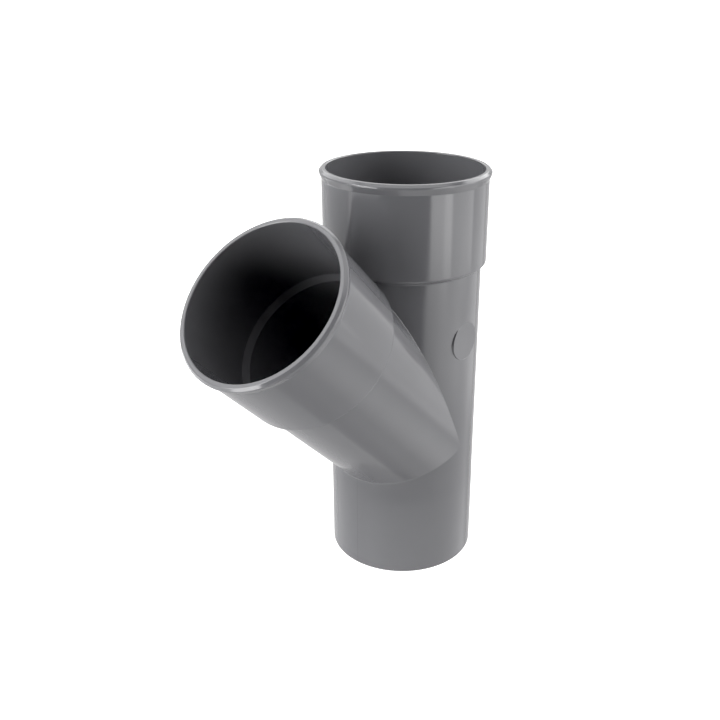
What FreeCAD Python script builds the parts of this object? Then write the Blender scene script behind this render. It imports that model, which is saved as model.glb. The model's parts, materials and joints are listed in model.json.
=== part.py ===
import FreeCAD, Part
import math
import os

# Lateral wye fitting for thin-walled drain pipe, moulded in one piece.
# A straight tube has a plain spigot below and a socket above, and a branch of
# the same bore leaves it at a slant towards +X and ends in an equal socket.
# Origin: centre of the spigot's lower end. +Z: the main axis, up.
# All lengths are in millimetres and all angles in degrees.

# Tube and branch
pipe_diameter = 80.0          # outside of the spigot, and of the pipes that fit the sockets
tube_wall = 2.0               # wall of the spigot
branch_angle = 45.0           # between the two axes
seam_gap = 2.7                # spigot's relief to the lowest point of the branch's seam
crotch_gap = 0.6              # crotch to the foot of each socket's step

# Spigot, made to size, with a slight relief between it and the body above
spigot_length = 50.0
relief_depth = 0.1            # how far the body's skin lies inside the spigot's
relief_length = 2.0           # axial length of the slope between them
spigot_outer_chamfer = 0.5
spigot_inner_chamfer = 0.3

# Sockets on the main tube and on the branch
socket_clearance = 0.2        # radial play round the pipe that goes in
socket_wall = 2.2
socket_depth = 46.2           # mouth to the upper edge of the stop
main_stop_rise = 3.0          # foot of the step outside to that edge of the stop inside
branch_stop_rise = 3.9
stop_length = 3.5             # axial length of the conical stop
mouth_chamfer = 0.4           # inside, where the pipe goes in
step_length = 1.85            # axial length of the step's slope
step_outer_round = 1.4

# Thickened lip round each mouth
lip_height = 1.15             # how far the lip stands proud of the socket
lip_round = 1.75              # on its outer edge, at the mouth
lip_band = 0.45               # from that rounding to the start of the back slope
lip_back_slope = 2.8          # axial length of that slope
lip_back_round = 1.5

# Flat round spot left by an insert in the mould, on the +Y side
spot_diameter = 20.0
spot_rise = 61.8              # its centre above the crossing of the axes
spot_sink = 0.2               # how far its flat face lies inside the tube's crest

# How far a cutting body runs past the face that it opens
overshoot = 5.0

spigot_radius = pipe_diameter / 2
bore_radius = spigot_radius - tube_wall
body_radius = spigot_radius - relief_depth
socket_bore_radius = spigot_radius + socket_clearance
socket_radius = socket_bore_radius + socket_wall
lip_radius = socket_radius + lip_height

# The crossing of the axes is the origin of the branch. The crotch is where the
# two tubes part, as far from the crossing along one axis as along the other.
half_angle = math.radians(branch_angle / 2)
crossing_height = spigot_length + relief_length + seam_gap + body_radius * math.tan(half_angle)
crotch_distance = body_radius / math.tan(half_angle)
step_distance = crotch_distance + crotch_gap
total_height = crossing_height + step_distance + main_stop_rise + socket_depth
branch_length = step_distance + branch_stop_rise + socket_depth
spot_height = crossing_height + spot_rise

# Points closer together than this are one point
same_point = 1e-6


def rounding_arc(before, corner, after, radius):
    """Start, middle and end of the arc that rounds a corner between two points."""
    to_before = (before - corner).normalize()
    to_after = (after - corner).normalize()
    half_corner = to_before.getAngle(to_after) / 2
    bisector = (to_before + to_after).normalize()
    reach = radius / math.tan(half_corner)
    rise = radius / math.sin(half_corner) - radius
    return corner + to_before * reach, corner + bisector * rise, corner + to_after * reach


def rounded_profile(corners):
    """Closed face in the XZ plane from (radius, height, rounding) corners."""
    points = [FreeCAD.Vector(radius, 0, height) for radius, height, rounding in corners]
    edges = []
    pen = None
    first = None
    for index, corner in enumerate(points):
        rounding = corners[index][2]
        start, end = corner, corner
        if rounding > 0:
            following = points[(index + 1) % len(points)]
            start, middle, end = rounding_arc(points[index - 1], corner, following, rounding)
        if pen is None:
            first = start
        elif pen.distanceToPoint(start) > same_point:
            edges.append(Part.LineSegment(pen, start).toShape())
        if rounding > 0:
            edges.append(Part.Arc(start, middle, end).toShape())
        pen = end
    edges.append(Part.LineSegment(pen, first).toShape())
    return Part.Face(Part.Wire(edges))


def turned(corners):
    """Solid of revolution about Z from (radius, height, rounding) corners."""
    centre = FreeCAD.Vector(0, 0, 0)
    axis = FreeCAD.Vector(0, 0, 1)
    return rounded_profile(corners).revolve(centre, axis, 360)


def slanted(upright):
    """A body made round Z, laid along the branch axis."""
    placed = upright.copy()
    placed.rotate(FreeCAD.Vector(0, 0, 0), FreeCAD.Vector(0, 1, 0), branch_angle)
    placed.translate(FreeCAD.Vector(0, 0, crossing_height))
    return placed


def socket_outline(step_foot, mouth):
    """Outer corners of a socket between these heights, from its step up."""
    lip_slope_top = mouth - lip_round - lip_band
    return [
        (body_radius, step_foot, 0),
        (socket_radius, step_foot + step_length, step_outer_round),
        (socket_radius, lip_slope_top - lip_back_slope, lip_back_round),
        (lip_radius, lip_slope_top, lip_back_round),
        (lip_radius, mouth, lip_round),
        (0, mouth, 0),
    ]


def socket_passage(mouth):
    """Inner corners of a socket whose mouth is at this height, from its stop up."""
    stop_top = mouth - socket_depth
    flare_radius = socket_bore_radius + mouth_chamfer
    return [
        (bore_radius, stop_top - stop_length, 0),
        (socket_bore_radius, stop_top, 0),
        (socket_bore_radius, mouth - mouth_chamfer, 0),
        (flare_radius, mouth, 0),
        (flare_radius, mouth + overshoot, 0),
        (0, mouth + overshoot, 0),
    ]


def main_outside():
    """The main tube as a full body, from the spigot end to the upper lip."""
    spigot = [
        (0, 0, 0),
        (spigot_radius - spigot_outer_chamfer, 0, 0),
        (spigot_radius, spigot_outer_chamfer, 0),
        (spigot_radius, spigot_length, 0),
        (body_radius, spigot_length + relief_length, 0),
    ]
    return turned(spigot + socket_outline(crossing_height + step_distance, total_height))


def main_passage():
    """The way through the main tube, open at both ends."""
    flare_radius = bore_radius + spigot_inner_chamfer
    spigot_end = [
        (0, -overshoot, 0),
        (flare_radius, -overshoot, 0),
        (flare_radius, 0, 0),
        (bore_radius, spigot_inner_chamfer, 0),
    ]
    return turned(spigot_end + socket_passage(total_height))


def branch_outside():
    """The branch as a full body, from the crossing to its lip."""
    root = [(0, 0, 0), (body_radius, 0, 0)]
    return slanted(turned(root + socket_outline(step_distance, branch_length)))


def branch_passage():
    """The way through the branch, from the crossing to its mouth."""
    root = [(0, 0, 0), (bore_radius, 0, 0)]
    return slanted(turned(root + socket_passage(branch_length)))


def spot_cylinder(low_y, high_y):
    """A round bar along Y, as wide as the insert's spot, between two places."""
    base = FreeCAD.Vector(0, low_y, spot_height)
    direction = FreeCAD.Vector(0, 1, 0)
    return Part.makeCylinder(spot_diameter / 2, high_y - low_y, base, direction)


def with_insert_spot(body):
    """The flat spot: proud of the tube at its sides, sunk in at its middle."""
    face_y = body_radius - spot_sink
    raised = body.fuse(spot_cylinder(0, face_y))
    return raised.cut(spot_cylinder(face_y, face_y + overshoot))


def wye_fitting():
    """Both tubes joined, the spot made, and the passages cut through."""
    outside = with_insert_spot(main_outside().fuse(branch_outside()))
    passages = main_passage().fuse(branch_passage())
    return outside.cut(passages).removeSplitter()


os.makedirs("parts", exist_ok=True)
wye_fitting().exportStep("parts/wye_fitting.step")
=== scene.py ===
import json
import math
import bmesh
import bpy
from mathutils import Matrix, Vector


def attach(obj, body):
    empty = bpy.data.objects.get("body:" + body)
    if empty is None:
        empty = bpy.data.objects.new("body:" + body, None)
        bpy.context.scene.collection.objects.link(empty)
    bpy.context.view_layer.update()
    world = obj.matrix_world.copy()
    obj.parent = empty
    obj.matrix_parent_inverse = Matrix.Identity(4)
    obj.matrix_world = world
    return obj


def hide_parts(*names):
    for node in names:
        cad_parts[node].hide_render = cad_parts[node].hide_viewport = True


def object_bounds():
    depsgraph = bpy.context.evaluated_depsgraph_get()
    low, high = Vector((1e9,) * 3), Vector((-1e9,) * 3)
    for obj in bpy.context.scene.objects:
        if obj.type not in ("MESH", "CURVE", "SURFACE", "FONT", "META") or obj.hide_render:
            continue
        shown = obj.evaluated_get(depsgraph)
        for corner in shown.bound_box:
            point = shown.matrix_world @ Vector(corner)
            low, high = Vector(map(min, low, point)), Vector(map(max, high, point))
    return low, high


# A lateral wye fitting of grey plastic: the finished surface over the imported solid.
# Lengths are in metres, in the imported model's own frame, and angles are given in degrees.

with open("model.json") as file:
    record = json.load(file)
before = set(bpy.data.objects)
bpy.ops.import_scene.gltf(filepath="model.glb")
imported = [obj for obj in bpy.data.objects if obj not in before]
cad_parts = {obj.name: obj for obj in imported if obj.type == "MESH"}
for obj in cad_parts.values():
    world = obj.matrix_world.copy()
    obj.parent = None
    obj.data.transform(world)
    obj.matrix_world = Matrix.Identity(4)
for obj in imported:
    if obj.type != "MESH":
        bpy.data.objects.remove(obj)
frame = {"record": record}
cad_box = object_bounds()
mounts = {mount["name"]: mount for mount in frame["record"]["mounts"]}


# Sizes of the tubes, from the mounts, the box and the driving sizes of the fitting

spigot_radius = mounts["spigot"]["dims"]["r_mm"] / 1000
socket_bore_radius = mounts["main_socket"]["dims"]["r_mm"] / 1000
lip_radius = -cad_box[0][0]
total_height = cad_box[1][2]
branch_angle = math.acos(mounts["branch_socket"]["axis"][2])

tube_wall = 0.0020
relief_depth = 0.0001         # how far the body's skin lies inside the spigot's
socket_wall = 0.0022
body_radius = spigot_radius - relief_depth
bore_radius = spigot_radius - tube_wall
socket_radius = socket_bore_radius + socket_wall

spigot_length = 0.0500
relief_length = 0.0020
relief_run = 0.0080           # length over which the finished skin eases across the relief
seam_gap = 0.0027             # spigot's relief to the lowest point of the branch's seam
crotch_gap = 0.0006           # crotch to the foot of each socket's step
socket_depth = 0.0462
branch_stop_rise = 0.0039     # foot of the step outside to the upper edge of the stop inside
stop_length = 0.0035
step_length = 0.00185

slope_per_radius = math.tan(branch_angle / 2)
crossing_height = spigot_length + relief_length + seam_gap + body_radius * slope_per_radius
step_distance = body_radius / slope_per_radius + crotch_gap
main_mouth = total_height - crossing_height
branch_mouth = step_distance + branch_stop_rise + socket_depth

# Rings where the turned ends of the tubes meet the plain skins round the crossing: a little
# below the low seams, and a little short of the feet of the sockets' steps
body_low_ring = -body_radius * slope_per_radius - 0.0012
body_high_ring = step_distance - 0.00045
bore_low_ring = -bore_radius * slope_per_radius - 0.0020
bore_high_ring = step_distance - 0.0016

# Thickened lip round each mouth
lip_band = 0.0022             # from the mouth to the lip's back slope
lip_back_slope = 0.0028

# Roundings of the edges
spigot_outer_round = 0.0006
spigot_inner_round = 0.0003
relief_round = 0.0500
foot_round = 0.0008
step_round = 0.0014
lip_back_round = 0.0015
lip_bevel = 0.0013            # on the lip's outer edge, at the mouth
lip_bevel_round = 0.0006
mouth_round = 0.0005
stop_round = 0.0006
outer_low_seam_round = 0.0020
outer_crotch_round = 0.0002
inner_seam_round = 0.0005

# Flat round spot left by an insert in the mould, on the +Y side
spot_radius = 0.0100
spot_height = 0.0618          # above the crossing of the axes
spot_sink = 0.0002            # how far its flat face lies inside the tube's crest
spot_face = body_radius - spot_sink
spot_foot_round = 0.00025
spot_edge_round = 0.00020

# Fineness of the mesh
columns = 240
arc_step = math.radians(15)
seam_reach = 0.030            # length of the straight runs that a seam is drawn between
low_row_count = 4
high_row_count = 8
spot_row_count = 28
branch_row_count = 10
spot_window = math.radians(21)
spot_window_height = 0.0145
spot_window_shares = (0.15, 0.60)        # of the free height, beyond which the window gives way
spot_slope_shares = (0.08, 0.2, 0.5, 0.8, 0.92)
spot_face_shares = (1, 0.9, 0.6, 0.3, 0)
spot_skin_rings = 8
weld_distance = 1e-7


# Tubes, each with its own frame: X across towards +X, Y across, Z along its axis from the crossing

def tube_frame(lean):
    """Frame of a tube whose axis leans this far from +Z towards +X at the crossing."""
    return Matrix.Translation((0, 0, crossing_height)) @ Matrix.Rotation(lean, 4, "Y")


main_tube = tube_frame(0)
branch_tube = tube_frame(branch_angle)
branch_way = Vector((math.sin(branch_angle), math.cos(branch_angle)))


def on_tube(tube, angle, across, along, normal):
    """A point on a tube's skin and the way the skin faces there.

    normal is (outward, along) in the half plane through the axis at that angle.
    """
    outward = Vector((math.cos(angle), math.sin(angle), 0))
    point = outward * across + Vector((0, 0, along))
    facing = outward * normal[0] + Vector((0, 0, normal[1]))
    return tube @ point, tube.to_3x3() @ facing


def column_angles(first, last):
    """Angles of the mesh's columns between two whole numbers of quarter turns, in radians."""
    per_quarter = columns // 4
    return [math.tau * step / columns for step in range(first * per_quarter, last * per_quarter + 1)]


# Outlines, travelled with the air on the left

def left_of(way):
    """The direction to the left of a direction of travel."""
    return Vector((-way.y, way.x))


def rounded_corner(before, corner, after, radius):
    """Stations of (point, left) along the arc that rounds a corner between two points."""
    way_in = (corner - before).normalized()
    way_out = (after - corner).normalized()
    turn = math.atan2(way_in.x * way_out.y - way_in.y * way_out.x, way_in.dot(way_out))
    bend = math.copysign(radius, turn)
    start = corner - way_in * radius * math.tan(abs(turn) / 2)
    centre = start + left_of(way_in) * bend
    steps = max(2, math.ceil(abs(turn) / arc_step))
    stations = []
    for step in range(steps + 1):
        left = Matrix.Rotation(turn * step / steps, 2) @ left_of(way_in)
        stations.append((centre - left * bend, left))
    return stations


def outline(corners):
    """Stations of (point, left) along (across, along, rounding) corners; the two ends are plain."""
    places = [Vector(corner[:2]) for corner in corners]
    stations = [(places[0], left_of((places[1] - places[0]).normalized()))]
    for index in range(1, len(corners) - 1):
        before, corner, after = places[index - 1:index + 2]
        stations += rounded_corner(before, corner, after, corners[index][2])
    stations.append((places[-1], left_of((places[-1] - places[-2]).normalized())))
    return stations


def spigot_outline():
    """Down the outside from the relief, round the spigot's end, and up into the bore."""
    end = -crossing_height
    relief = end + spigot_length
    return outline([
        (body_radius, body_low_ring, 0),
        (body_radius, relief + relief_length, relief_round),
        (spigot_radius, relief + relief_length - relief_run, relief_round),
        (spigot_radius, end, spigot_outer_round),
        (bore_radius, end, spigot_inner_round),
        (bore_radius, bore_low_ring, 0),
    ])


def socket_outline(mouth):
    """Up the inside over the stop, round the mouth, and down the outside to the step's foot."""
    stop_top = mouth - socket_depth
    slope_top = mouth - lip_band
    return outline([
        (bore_radius, bore_high_ring, 0),
        (bore_radius, stop_top - stop_length, stop_round),
        (socket_bore_radius, stop_top, stop_round),
        (socket_bore_radius, mouth, mouth_round),
        (lip_radius - lip_bevel, mouth, lip_bevel_round),
        (lip_radius, mouth - lip_bevel, lip_bevel_round),
        (lip_radius, slope_top, lip_back_round),
        (socket_radius, slope_top - lip_back_slope, lip_back_round),
        (socket_radius, step_distance + step_length, step_round),
        (body_radius, step_distance, foot_round),
        (body_radius, body_high_ring, 0),
    ])


def low_seam(radius, rounding):
    """Where the branch's underside meets the main tube, in the plane of both axes."""
    corner = Vector((radius, -radius * slope_per_radius))
    up_branch = corner + branch_way * seam_reach
    down_main = corner - Vector((0, seam_reach))
    return rounded_corner(up_branch, corner, down_main, rounding)


def high_seam(radius, rounding):
    """Where the branch's upper side meets the main tube, in the plane of both axes."""
    corner = Vector((radius, radius / slope_per_radius))
    up_main = corner + Vector((0, seam_reach))
    up_branch = corner + branch_way * seam_reach
    return rounded_corner(up_main, corner, up_branch, rounding)


# The skin

class Skin:
    """A mesh in the making. Each vertex keeps the exact way its surface faces, where that is known."""

    def __init__(self):
        self.mesh = bmesh.new()
        self.facing = self.mesh.verts.layers.float_vector.new("facing")
        self.outside = self.mesh.verts.layers.float.new("outside")

    def vertex(self, point, facing, outside):
        """A new vertex; a facing of None leaves the direction to the mesh."""
        made = self.mesh.verts.new(point)
        made[self.facing] = facing if facing is not None else (0, 0, 0)
        made[self.outside] = outside
        return made

    def sheet(self, rows, outside, hole=None):
        """Quads between rows of (point, facing), but for those that hole(row, column) leaves out.

        outside says how far each row faces out of the fitting, from 0 to 1.
        """
        grid = []
        for row, share in zip(rows, outside):
            grid.append([self.vertex(point, facing, share) for point, facing in row])
        for row in range(len(grid) - 1):
            for column in range(len(grid[row]) - 1):
                if hole is None or not hole(row, column):
                    self.mesh.faces.new((
                        grid[row][column],
                        grid[row][column + 1],
                        grid[row + 1][column + 1],
                        grid[row + 1][column],
                    ))
        return grid


def turned(skin, tube, stations):
    """The skin swept round a tube's axis by an outline."""
    rows = []
    for point, left in stations:
        rows.append([on_tube(tube, angle, point.x, point.y, left) for angle in column_angles(0, 4)])
    skin.sheet(rows, [max(left.x, 0) for point, left in stations])


def plain(skin, tube, radius, reaches, sign, hole=None):
    """A plain stretch of a tube's skin. sign is 1 where it faces out and -1 where it faces in.

    reaches(angle) gives the distances along the axis of a column's rows.
    """
    made = []
    for angle in column_angles(0, 4):
        made.append([on_tube(tube, angle, radius, place, (sign, 0)) for place in reaches(angle)])
    rows = list(zip(*made))
    skin.sheet(rows, [max(sign, 0)] * len(rows), hole)


def seam(skin, radius, stations, sign):
    """The rounded seam of two equal skins, whose outline shrinks away from the plane of the axes."""
    rows = []
    for point, left in stations:
        row = []
        for angle in column_angles(-1, 1):
            shrink = math.cos(angle)
            side = math.sin(angle)
            place = Vector((point.x * shrink, radius * side, point.y * shrink))
            facing = Vector((left.x * radius * shrink, point.dot(left) * side, left.y * radius * shrink))
            row.append((main_tube @ place, facing.normalized() * sign))
        rows.append(row)
    skin.sheet(rows, [max(sign, 0)] * len(rows))


def spread(stops, counts):
    """Places spaced evenly between each stop and the next, as many steps as counts says."""
    places = [stops[0]]
    for low, high, count in zip(stops, stops[1:], counts):
        places += [low + (high - low) * step / count for step in range(1, count + 1)]
    return places


def crossing_skin(skin, radius, roundings, rings, sign, hole=None):
    """Both tubes' skins round the crossing, with their seams. sign is 1 outside and -1 inside."""
    low_ring, high_ring = rings
    low = low_seam(radius, roundings[0])
    high = high_seam(radius, roundings[1])
    low_on_main = low[-1][0].y
    low_on_branch = low[0][0].dot(branch_way)
    high_on_main = high[0][0].y
    high_on_branch = high[-1][0].dot(branch_way)

    def below(angle):
        return spread([low_ring, max(math.cos(angle), 0) * low_on_main], [low_row_count])

    def above(angle):
        start = max(math.cos(angle), 0) * high_on_main
        least_low, least_high = (start + (high_ring - start) * share for share in spot_window_shares)
        window_low = max(spot_height - spot_window_height, least_low)
        window_high = max(spot_height + spot_window_height, least_high)
        counts = [high_row_count, spot_row_count, high_row_count]
        return spread([start, window_low, window_high, high_ring], counts)

    def along_branch(angle):
        shrink = math.cos(angle)
        start = shrink * low_on_branch if shrink > 0 else -shrink * high_on_branch
        return spread([start, high_ring], [branch_row_count])

    plain(skin, main_tube, radius, below, sign)
    plain(skin, main_tube, radius, above, sign, hole)
    plain(skin, branch_tube, radius, along_branch, sign)
    seam(skin, radius, low, sign)
    seam(skin, radius, high, sign)


def in_spot_window(row, column):
    """Whether a quad of the skin above the crossing lies in the window kept for the insert's spot."""
    middle = columns // 4
    half_width = round(spot_window * columns / math.tau)
    in_columns = middle - half_width <= column < middle + half_width
    return in_columns and high_row_count <= row < high_row_count + spot_row_count


def window_edge():
    """Points round the spot's window, as (across, along) from the spot's centre."""
    half_width = round(spot_window * columns / math.tau)
    sides = [math.tau * step / columns for step in range(-half_width, half_width + 1)]
    heights = spread([-spot_window_height, spot_window_height], [spot_row_count])
    lower = [(math.sin(side), heights[0]) for side in sides]
    right = [(math.sin(sides[-1]), height) for height in heights[1:]]
    upper = [(math.sin(side), heights[-1]) for side in reversed(sides[:-1])]
    left = [(math.sin(sides[0]), height) for height in reversed(heights[:-1])]
    return [Vector((body_radius * across, along)) for across, along in lower + right + upper + left]


def insert_spot(skin):
    """The flat round spot and the tube's skin between it and the window's edge."""
    edge = window_edge()
    ways = [place.normalized() for place in edge]
    foot = spot_radius + spot_foot_round
    rim = spot_radius - spot_edge_round

    def on_body(place):
        depth = math.sqrt(body_radius ** 2 - place.x ** 2)
        return depth, Vector((place.x, depth, 0)) / body_radius

    rows = []
    for share in spread([0, 1], [spot_skin_rings]):
        row = []
        for place, way in zip(edge, ways):
            place = place.lerp(way * foot, share)
            depth, facing = on_body(place)
            row.append((main_tube @ Vector((place.x, depth, spot_height + place.y)), facing))
        rows.append(row)
    for share in spot_slope_shares:
        row = []
        for way in ways:
            place = way * (foot + (rim - foot) * share)
            rise = share * share * (3 - 2 * share)
            depth = on_body(place)[0] * (1 - rise) + spot_face * rise
            row.append((main_tube @ Vector((place.x, depth, spot_height + place.y)), None))
        rows.append(row)
    for share in spot_face_shares:
        row = []
        for way in ways:
            place = way * rim * share
            point = Vector((place.x, spot_face, spot_height + place.y))
            row.append((main_tube @ point, Vector((0, 1, 0))))
        rows.append(row)
    skin.sheet(rows, [1] * len(rows))


def finished_mesh(skin, name):
    """The skin's parts joined into a closed mesh, smooth-shaded by their exact directions.

    Those directions are of length 1, but for the unknown ones, which are zero.
    """
    built = skin.mesh
    bmesh.ops.remove_doubles(built, verts=built.verts, dist=weld_distance)
    bmesh.ops.dissolve_degenerate(built, edges=built.edges, dist=weld_distance)
    bmesh.ops.recalc_face_normals(built, faces=built.faces)
    built.normal_update()
    facings = []
    for vertex in built.verts:
        exact = vertex[skin.facing]
        facings.append(exact.normalized() if exact.length > 0.5 else vertex.normal.copy())
    mesh = bpy.data.meshes.new(name)
    built.to_mesh(mesh)
    built.free()
    mesh.shade_smooth()
    mesh.normals_split_custom_set_from_vertices(facings)
    return mesh


def make_fitting():
    """The whole fitting: both tubes' ends, the skins round the crossing and the insert's spot."""
    skin = Skin()
    turned(skin, main_tube, spigot_outline())
    turned(skin, main_tube, socket_outline(main_mouth))
    turned(skin, branch_tube, socket_outline(branch_mouth))
    outer_roundings = (outer_low_seam_round, outer_crotch_round)
    inner_roundings = (inner_seam_round, inner_seam_round)
    crossing_skin(skin, body_radius, outer_roundings, (body_low_ring, body_high_ring), 1, in_spot_window)
    crossing_skin(skin, bore_radius, inner_roundings, (bore_low_ring, bore_high_ring), -1)
    insert_spot(skin)
    name = "wye_fitting_skin"
    fitting = bpy.data.objects.new(name, finished_mesh(skin, name))
    bpy.context.scene.collection.objects.link(fitting)
    return fitting


# Material

def node(tree, kind, inputs=None, **settings):
    """A new shader node with some of its settings and unlinked inputs set."""
    made = tree.nodes.new(kind)
    for name, value in settings.items():
        setattr(made, name, value)
    for name, value in (inputs or {}).items():
        made.inputs[name].default_value = value
    return made


# Shades of the plastic, from the darkest to the lightest, and of the mould's parting line
plastic_shades = ((0.096, 0.096, 0.102, 1), (0.106, 0.106, 0.113, 1))
parting_line_shade = (0.086, 0.086, 0.091, 1)
plastic_roughness = (0.10, 0.15)
plastic_refraction = 1.5

# The parting line lies in the plane of both axes
parting_line_half_width = 0.00012
parting_line_fade = 0.00008


def on_parting_line(tree, place):
    """1 on the mould's parting line, which shows on the outside only, and 0 beside it."""
    parts = node(tree, "ShaderNodeSeparateXYZ")
    distance = node(tree, "ShaderNodeMath", operation="ABSOLUTE")
    edge = parting_line_half_width + parting_line_fade
    line = node(tree, "ShaderNodeMapRange", {"From Min": edge, "From Max": parting_line_half_width})
    outside = node(tree, "ShaderNodeAttribute", attribute_name="outside")
    shown = node(tree, "ShaderNodeMath", operation="MULTIPLY")
    tree.links.new(place, parts.inputs["Vector"])
    tree.links.new(parts.outputs["Y"], distance.inputs[0])
    tree.links.new(distance.outputs["Value"], line.inputs["Value"])
    tree.links.new(line.outputs["Result"], shown.inputs[0])
    tree.links.new(outside.outputs["Fac"], shown.inputs[1])
    return shown.outputs["Value"]


def grey_plastic():
    """Moulded grey plastic: glossy, with a faint flow mottling, a fine skin and a parting line."""
    material = bpy.data.materials.new("grey_plastic_skin")
    material.use_nodes = True
    tree = material.node_tree
    surface = tree.nodes["Principled BSDF"]
    surface.inputs["IOR"].default_value = plastic_refraction
    place = node(tree, "ShaderNodeTexCoord").outputs["Object"]
    mottle = node(tree, "ShaderNodeTexNoise", {"Scale": 40.0, "Detail": 3.0})
    tint = node(tree, "ShaderNodeMix", data_type="RGBA")
    tint.inputs[6].default_value, tint.inputs[7].default_value = plastic_shades
    lined = node(tree, "ShaderNodeMix", data_type="RGBA")
    lined.inputs[7].default_value = parting_line_shade
    smooth, rough = plastic_roughness
    gloss = node(tree, "ShaderNodeMapRange", {"To Min": smooth, "To Max": rough})
    waves = node(tree, "ShaderNodeTexNoise", {"Scale": 90.0, "Detail": 2.0})
    bump = node(tree, "ShaderNodeBump", {"Strength": 0.05, "Distance": 0.0002})
    tree.links.new(place, mottle.inputs["Vector"])
    tree.links.new(place, waves.inputs["Vector"])
    tree.links.new(mottle.outputs["Fac"], tint.inputs[0])
    tree.links.new(tint.outputs[2], lined.inputs[6])
    tree.links.new(on_parting_line(tree, place), lined.inputs[0])
    tree.links.new(mottle.outputs["Fac"], gloss.inputs["Value"])
    tree.links.new(waves.outputs["Fac"], bump.inputs["Height"])
    tree.links.new(lined.outputs[2], surface.inputs["Base Color"])
    tree.links.new(gloss.outputs["Result"], surface.inputs["Roughness"])
    tree.links.new(bump.outputs["Normal"], surface.inputs["Normal"])
    return material


# Camera, at the photograph's viewing angle

camera_azimuth = math.radians(38.19)     # from +X towards +Y
camera_elevation = math.radians(23.93)
camera_roll = math.radians(0.41)
camera_distance = 0.49719
camera_aim_height = 0.110
camera_right = -0.00524                  # sideways and upwards steps of the camera off its aim
camera_up = -0.00140
camera_sensor_width = 36                 # in millimetres, as the focal length is
camera_focal_length = 45.27
camera_shift_x = -0.0469
camera_shift_y = 0.0068


def make_camera():
    """The camera, as the scene's own."""
    back = Vector((
        math.cos(camera_azimuth) * math.cos(camera_elevation),
        math.sin(camera_azimuth) * math.cos(camera_elevation),
        math.sin(camera_elevation),
    ))
    level = Vector((-math.sin(camera_azimuth), math.cos(camera_azimuth), 0))
    turn = Matrix((level, back.cross(level), back)).transposed() @ Matrix.Rotation(camera_roll, 3, "Z")
    aim = Vector((0, 0, camera_aim_height))
    place = aim + turn @ Vector((camera_right, camera_up, camera_distance))
    data = bpy.data.cameras.new("camera")
    data.sensor_width = camera_sensor_width
    data.lens = camera_focal_length
    data.shift_x = camera_shift_x
    data.shift_y = camera_shift_y
    data.clip_start = 0.01
    camera = bpy.data.objects.new("camera", data)
    camera.matrix_world = Matrix.Translation(place) @ turn.to_4x4()
    bpy.context.scene.collection.objects.link(camera)
    bpy.context.scene.camera = camera


# Studio: soft lights far off all round, over a pale floor and backdrop that only the camera sees

floor_reach = 12.0
backdrop_radius = 9.0
covered_floor_radius = bore_radius - 0.0001
covered_floor_height = 0.0004

# Azimuths to the right of the camera's side and width of their soft edges, the same for
# the elevations, and brightness
studio_lights = {
    "floor_in_front": ((-60, 50), 25, (-95, -30), 12, 1.5),
    "floor_right": ((50, 135), 25, (-60, -26), 36, 1.6),
    "floor_left": ((-140, -60), 25, (-95, -26), 15, 1.0),
    "floor_behind_right": ((140, 200), 20, (-95, 15), 6, 0.8),
    "floor_behind_left": ((-200, -140), 20, (-95, 15), 6, 0.8),
    "floor_right_near": ((50, 150), 25, (-95, -64), 12, 0.5),
    "far_floor_right": ((30, 95), 12, (-26, -18), 6, 1.7),
    "far_floor_right_rear": ((95, 140), 8, (-26, -18), 6, 1.0),
    "far_floor_left": ((-140, -35), 8, (-26, -18), 6, 2.8),
    "right_box_front": ((34, 54), 2.5, (-18, 0), 5, 3.8),
    "right_box_strip": ((54, 66), 2.5, (-18, 0), 5, 5.1),
    "right_box_rear": ((66, 105), 4, (-18, 0), 5, 2.6),
    "right_box_end": ((105, 140), 10, (-18, 0), 5, 1.2),
    "left_box_front": ((-67, -38), 5, (-18, 0), 5, 6.0),
    "left_box_foot": ((-66, -36), 3, (-25, -14), 3, 6.0),
    "left_box_rear": ((-82, -67), 5, (-18, 0), 5, 2.0),
    "left_box_end": ((-140, -82), 10, (-18, 0), 5, 0.8),
    "right_box_top": ((45, 105), 6, (0, 30), 6, 4.8),
    "right_back_box": ((105, 165), 6, (15, 45), 6, 4.4),
    "back_box_right": ((165, 200), 8, (15, 45), 6, 2.8),
    "back_box_left": ((-200, -120), 8, (15, 45), 6, 2.8),
    "left_box_top": ((-78, -48), 4, (0, 30), 5, 10.5),
    "left_back_box": ((-120, -45), 6, (30, 52), 6, 3.1),
    "ceiling": ((-200, 200), 6, (56, 95), 12, 2.1),
}

# A low card on the floor at the left, as the lights above but by its distances
low_card_azimuths = (-112, -22)
low_card_distances = (0.17, 0.30)
low_card_height = -0.001
low_card_steps = 12
low_card_brightness = 2.0

# Inputs of the stage's plain matt material
matt_grey = {"Base Color": (0.5, 0.5, 0.5, 1), "Roughness": 1.0}


def soft_step(tree, value, start, end):
    """0 up to the start and 1 from the end on; the end may lie below the start."""
    ramp = node(tree, "ShaderNodeMapRange", {"From Min": start, "From Max": end})
    ramp.interpolation_type = "SMOOTHSTEP"
    tree.links.new(value, ramp.inputs["Value"])
    return ramp.outputs["Result"]


def combined(tree, operation, first, second):
    """Two values put together by a maths node; the second may be a plain number."""
    maths = node(tree, "ShaderNodeMath", operation=operation)
    tree.links.new(first, maths.inputs[0])
    if isinstance(second, (int, float)):
        maths.inputs[1].default_value = second
    else:
        tree.links.new(second, maths.inputs[1])
    return maths.outputs["Value"]


def soft_patch(tree, value, bounds, fade):
    """1 between two bounds of a value in degrees, and 0 beyond its soft edges."""
    low, high = (math.radians(bound) for bound in bounds)
    half = math.radians(fade) / 2
    rise = soft_step(tree, value, low - half, low + half)
    fall = soft_step(tree, value, high + half, high - half)
    return combined(tree, "MULTIPLY", rise, fall)


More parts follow.
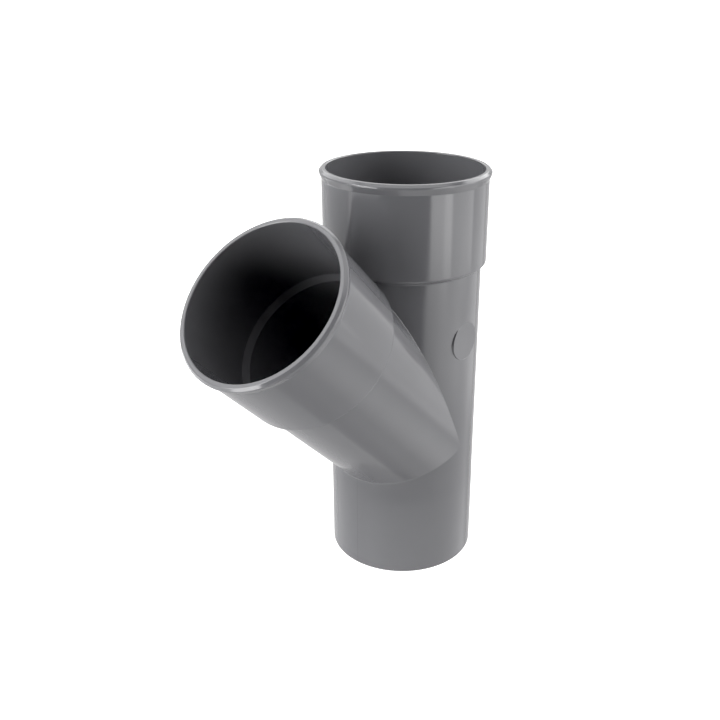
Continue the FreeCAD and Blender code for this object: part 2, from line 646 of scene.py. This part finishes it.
def make_lights():
    """The world's light, as soft patches of brightness by direction."""
    world = bpy.data.worlds.new("studio")
    bpy.context.scene.world = world
    world.use_nodes = True
    tree = world.node_tree
    way = node(tree, "ShaderNodeTexCoord").outputs["Generated"]
    turned_back = node(tree, "ShaderNodeVectorRotate", {"Angle": -camera_azimuth})
    turned_back.rotation_type = "Z_AXIS"
    parts = node(tree, "ShaderNodeSeparateXYZ")
    tree.links.new(way, turned_back.inputs["Vector"])
    tree.links.new(turned_back.outputs["Vector"], parts.inputs["Vector"])
    azimuth = combined(tree, "ARCTAN2", parts.outputs["Y"], parts.outputs["X"])
    elevation = node(tree, "ShaderNodeMath", operation="ARCSINE")
    tree.links.new(parts.outputs["Z"], elevation.inputs[0])
    total = None
    for azimuths, across_fade, elevations, up_fade, brightness in studio_lights.values():
        across = soft_patch(tree, azimuth, azimuths, across_fade)
        up = soft_patch(tree, elevation.outputs["Value"], elevations, up_fade)
        patch = combined(tree, "MULTIPLY", across, up)
        light = combined(tree, "MULTIPLY", patch, brightness)
        total = light if total is None else combined(tree, "ADD", total, light)
    background = tree.nodes["Background"]
    background.inputs["Color"].default_value = (1, 1, 1, 1)
    tree.links.new(total, background.inputs["Strength"])


def stage_material(name, inputs):
    """A material for a body of the stage, with these inputs of its shader set."""
    material = bpy.data.materials.new(name)
    material.use_nodes = True
    surface = material.node_tree.nodes["Principled BSDF"]
    for label, value in inputs.items():
        surface.inputs[label].default_value = value
    return material


def stage_body(name, mesh, inputs):
    """A body that isn't part of the object, of a mesh and a material with these inputs."""
    mesh.materials.append(stage_material(name, inputs))
    body = bpy.data.objects.new(name, mesh)
    bpy.context.scene.collection.objects.link(body)
    return body


def glow(brightness):
    """The inputs of a material that gives out white light."""
    return {"Emission Color": (1, 1, 1, 1), "Emission Strength": brightness}


def around(radius, azimuth, height):
    """A point at a distance from the axis of the main tube."""
    return radius * math.cos(azimuth), radius * math.sin(azimuth), height


def make_low_card():
    """The card on the floor, which lights the branch from below and isn't seen itself."""
    corners = []
    for turn in spread([math.radians(azimuth) for azimuth in low_card_azimuths], [low_card_steps]):
        for distance in low_card_distances:
            corners.append(around(distance, camera_azimuth + turn, low_card_height))
    faces = [(first, first + 1, first + 3, first + 2) for first in range(0, 2 * low_card_steps, 2)]
    mesh = bpy.data.meshes.new("low_card")
    mesh.from_pydata(corners, [], faces)
    inputs = {"Base Color": (0, 0, 0, 1)} | glow(low_card_brightness)
    stage_body("low_card", mesh, inputs).visible_camera = False


def make_covered_floor():
    """The patch of floor that the spigot stands over, which closes its end to the light from below."""
    angles = column_angles(0, 4)[:-1]
    corners = [around(covered_floor_radius, angle, covered_floor_height) for angle in angles]
    mesh = bpy.data.meshes.new("covered_floor")
    mesh.from_pydata(corners, [], [tuple(range(len(corners)))])
    stage_body("covered_floor", mesh, matt_grey)


def only_seen(name, mesh):
    """A pale body of the stage that only the camera sees."""
    inputs = matt_grey | {"Specular IOR Level": 0.0} | glow(1.0)
    body = stage_body(name, mesh, inputs)
    body.visible_diffuse = False
    body.visible_glossy = False
    body.visible_shadow = False


def make_backdrop():
    """The pale floor, and the pale room round it."""
    reach = floor_reach
    corners = [(-reach, -reach, 0), (reach, -reach, 0), (reach, reach, 0), (-reach, reach, 0)]
    floor = bpy.data.meshes.new("floor")
    floor.from_pydata(corners, [], [(0, 1, 2, 3)])
    only_seen("floor", floor)
    room = bmesh.new()
    bmesh.ops.create_icosphere(room, subdivisions=4, radius=backdrop_radius)
    backdrop = bpy.data.meshes.new("backdrop")
    room.to_mesh(backdrop)
    room.free()
    only_seen("backdrop", backdrop)


# Light below this level shows as black, as in the photograph
black_level = 0.005


def set_picture():
    """Plain colours, and the photograph's deep blacks."""
    view = bpy.context.scene.view_settings
    view.view_transform = "Standard"
    view.use_curve_mapping = True
    view.curve_mapping.black_level = (black_level, black_level, black_level)
    view.curve_mapping.update()


fitting = make_fitting()
fitting.data.materials.append(grey_plastic())
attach(fitting, "root")
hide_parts("wye_fitting")
make_camera()
make_lights()
make_low_card()
make_covered_floor()
make_backdrop()
set_picture()
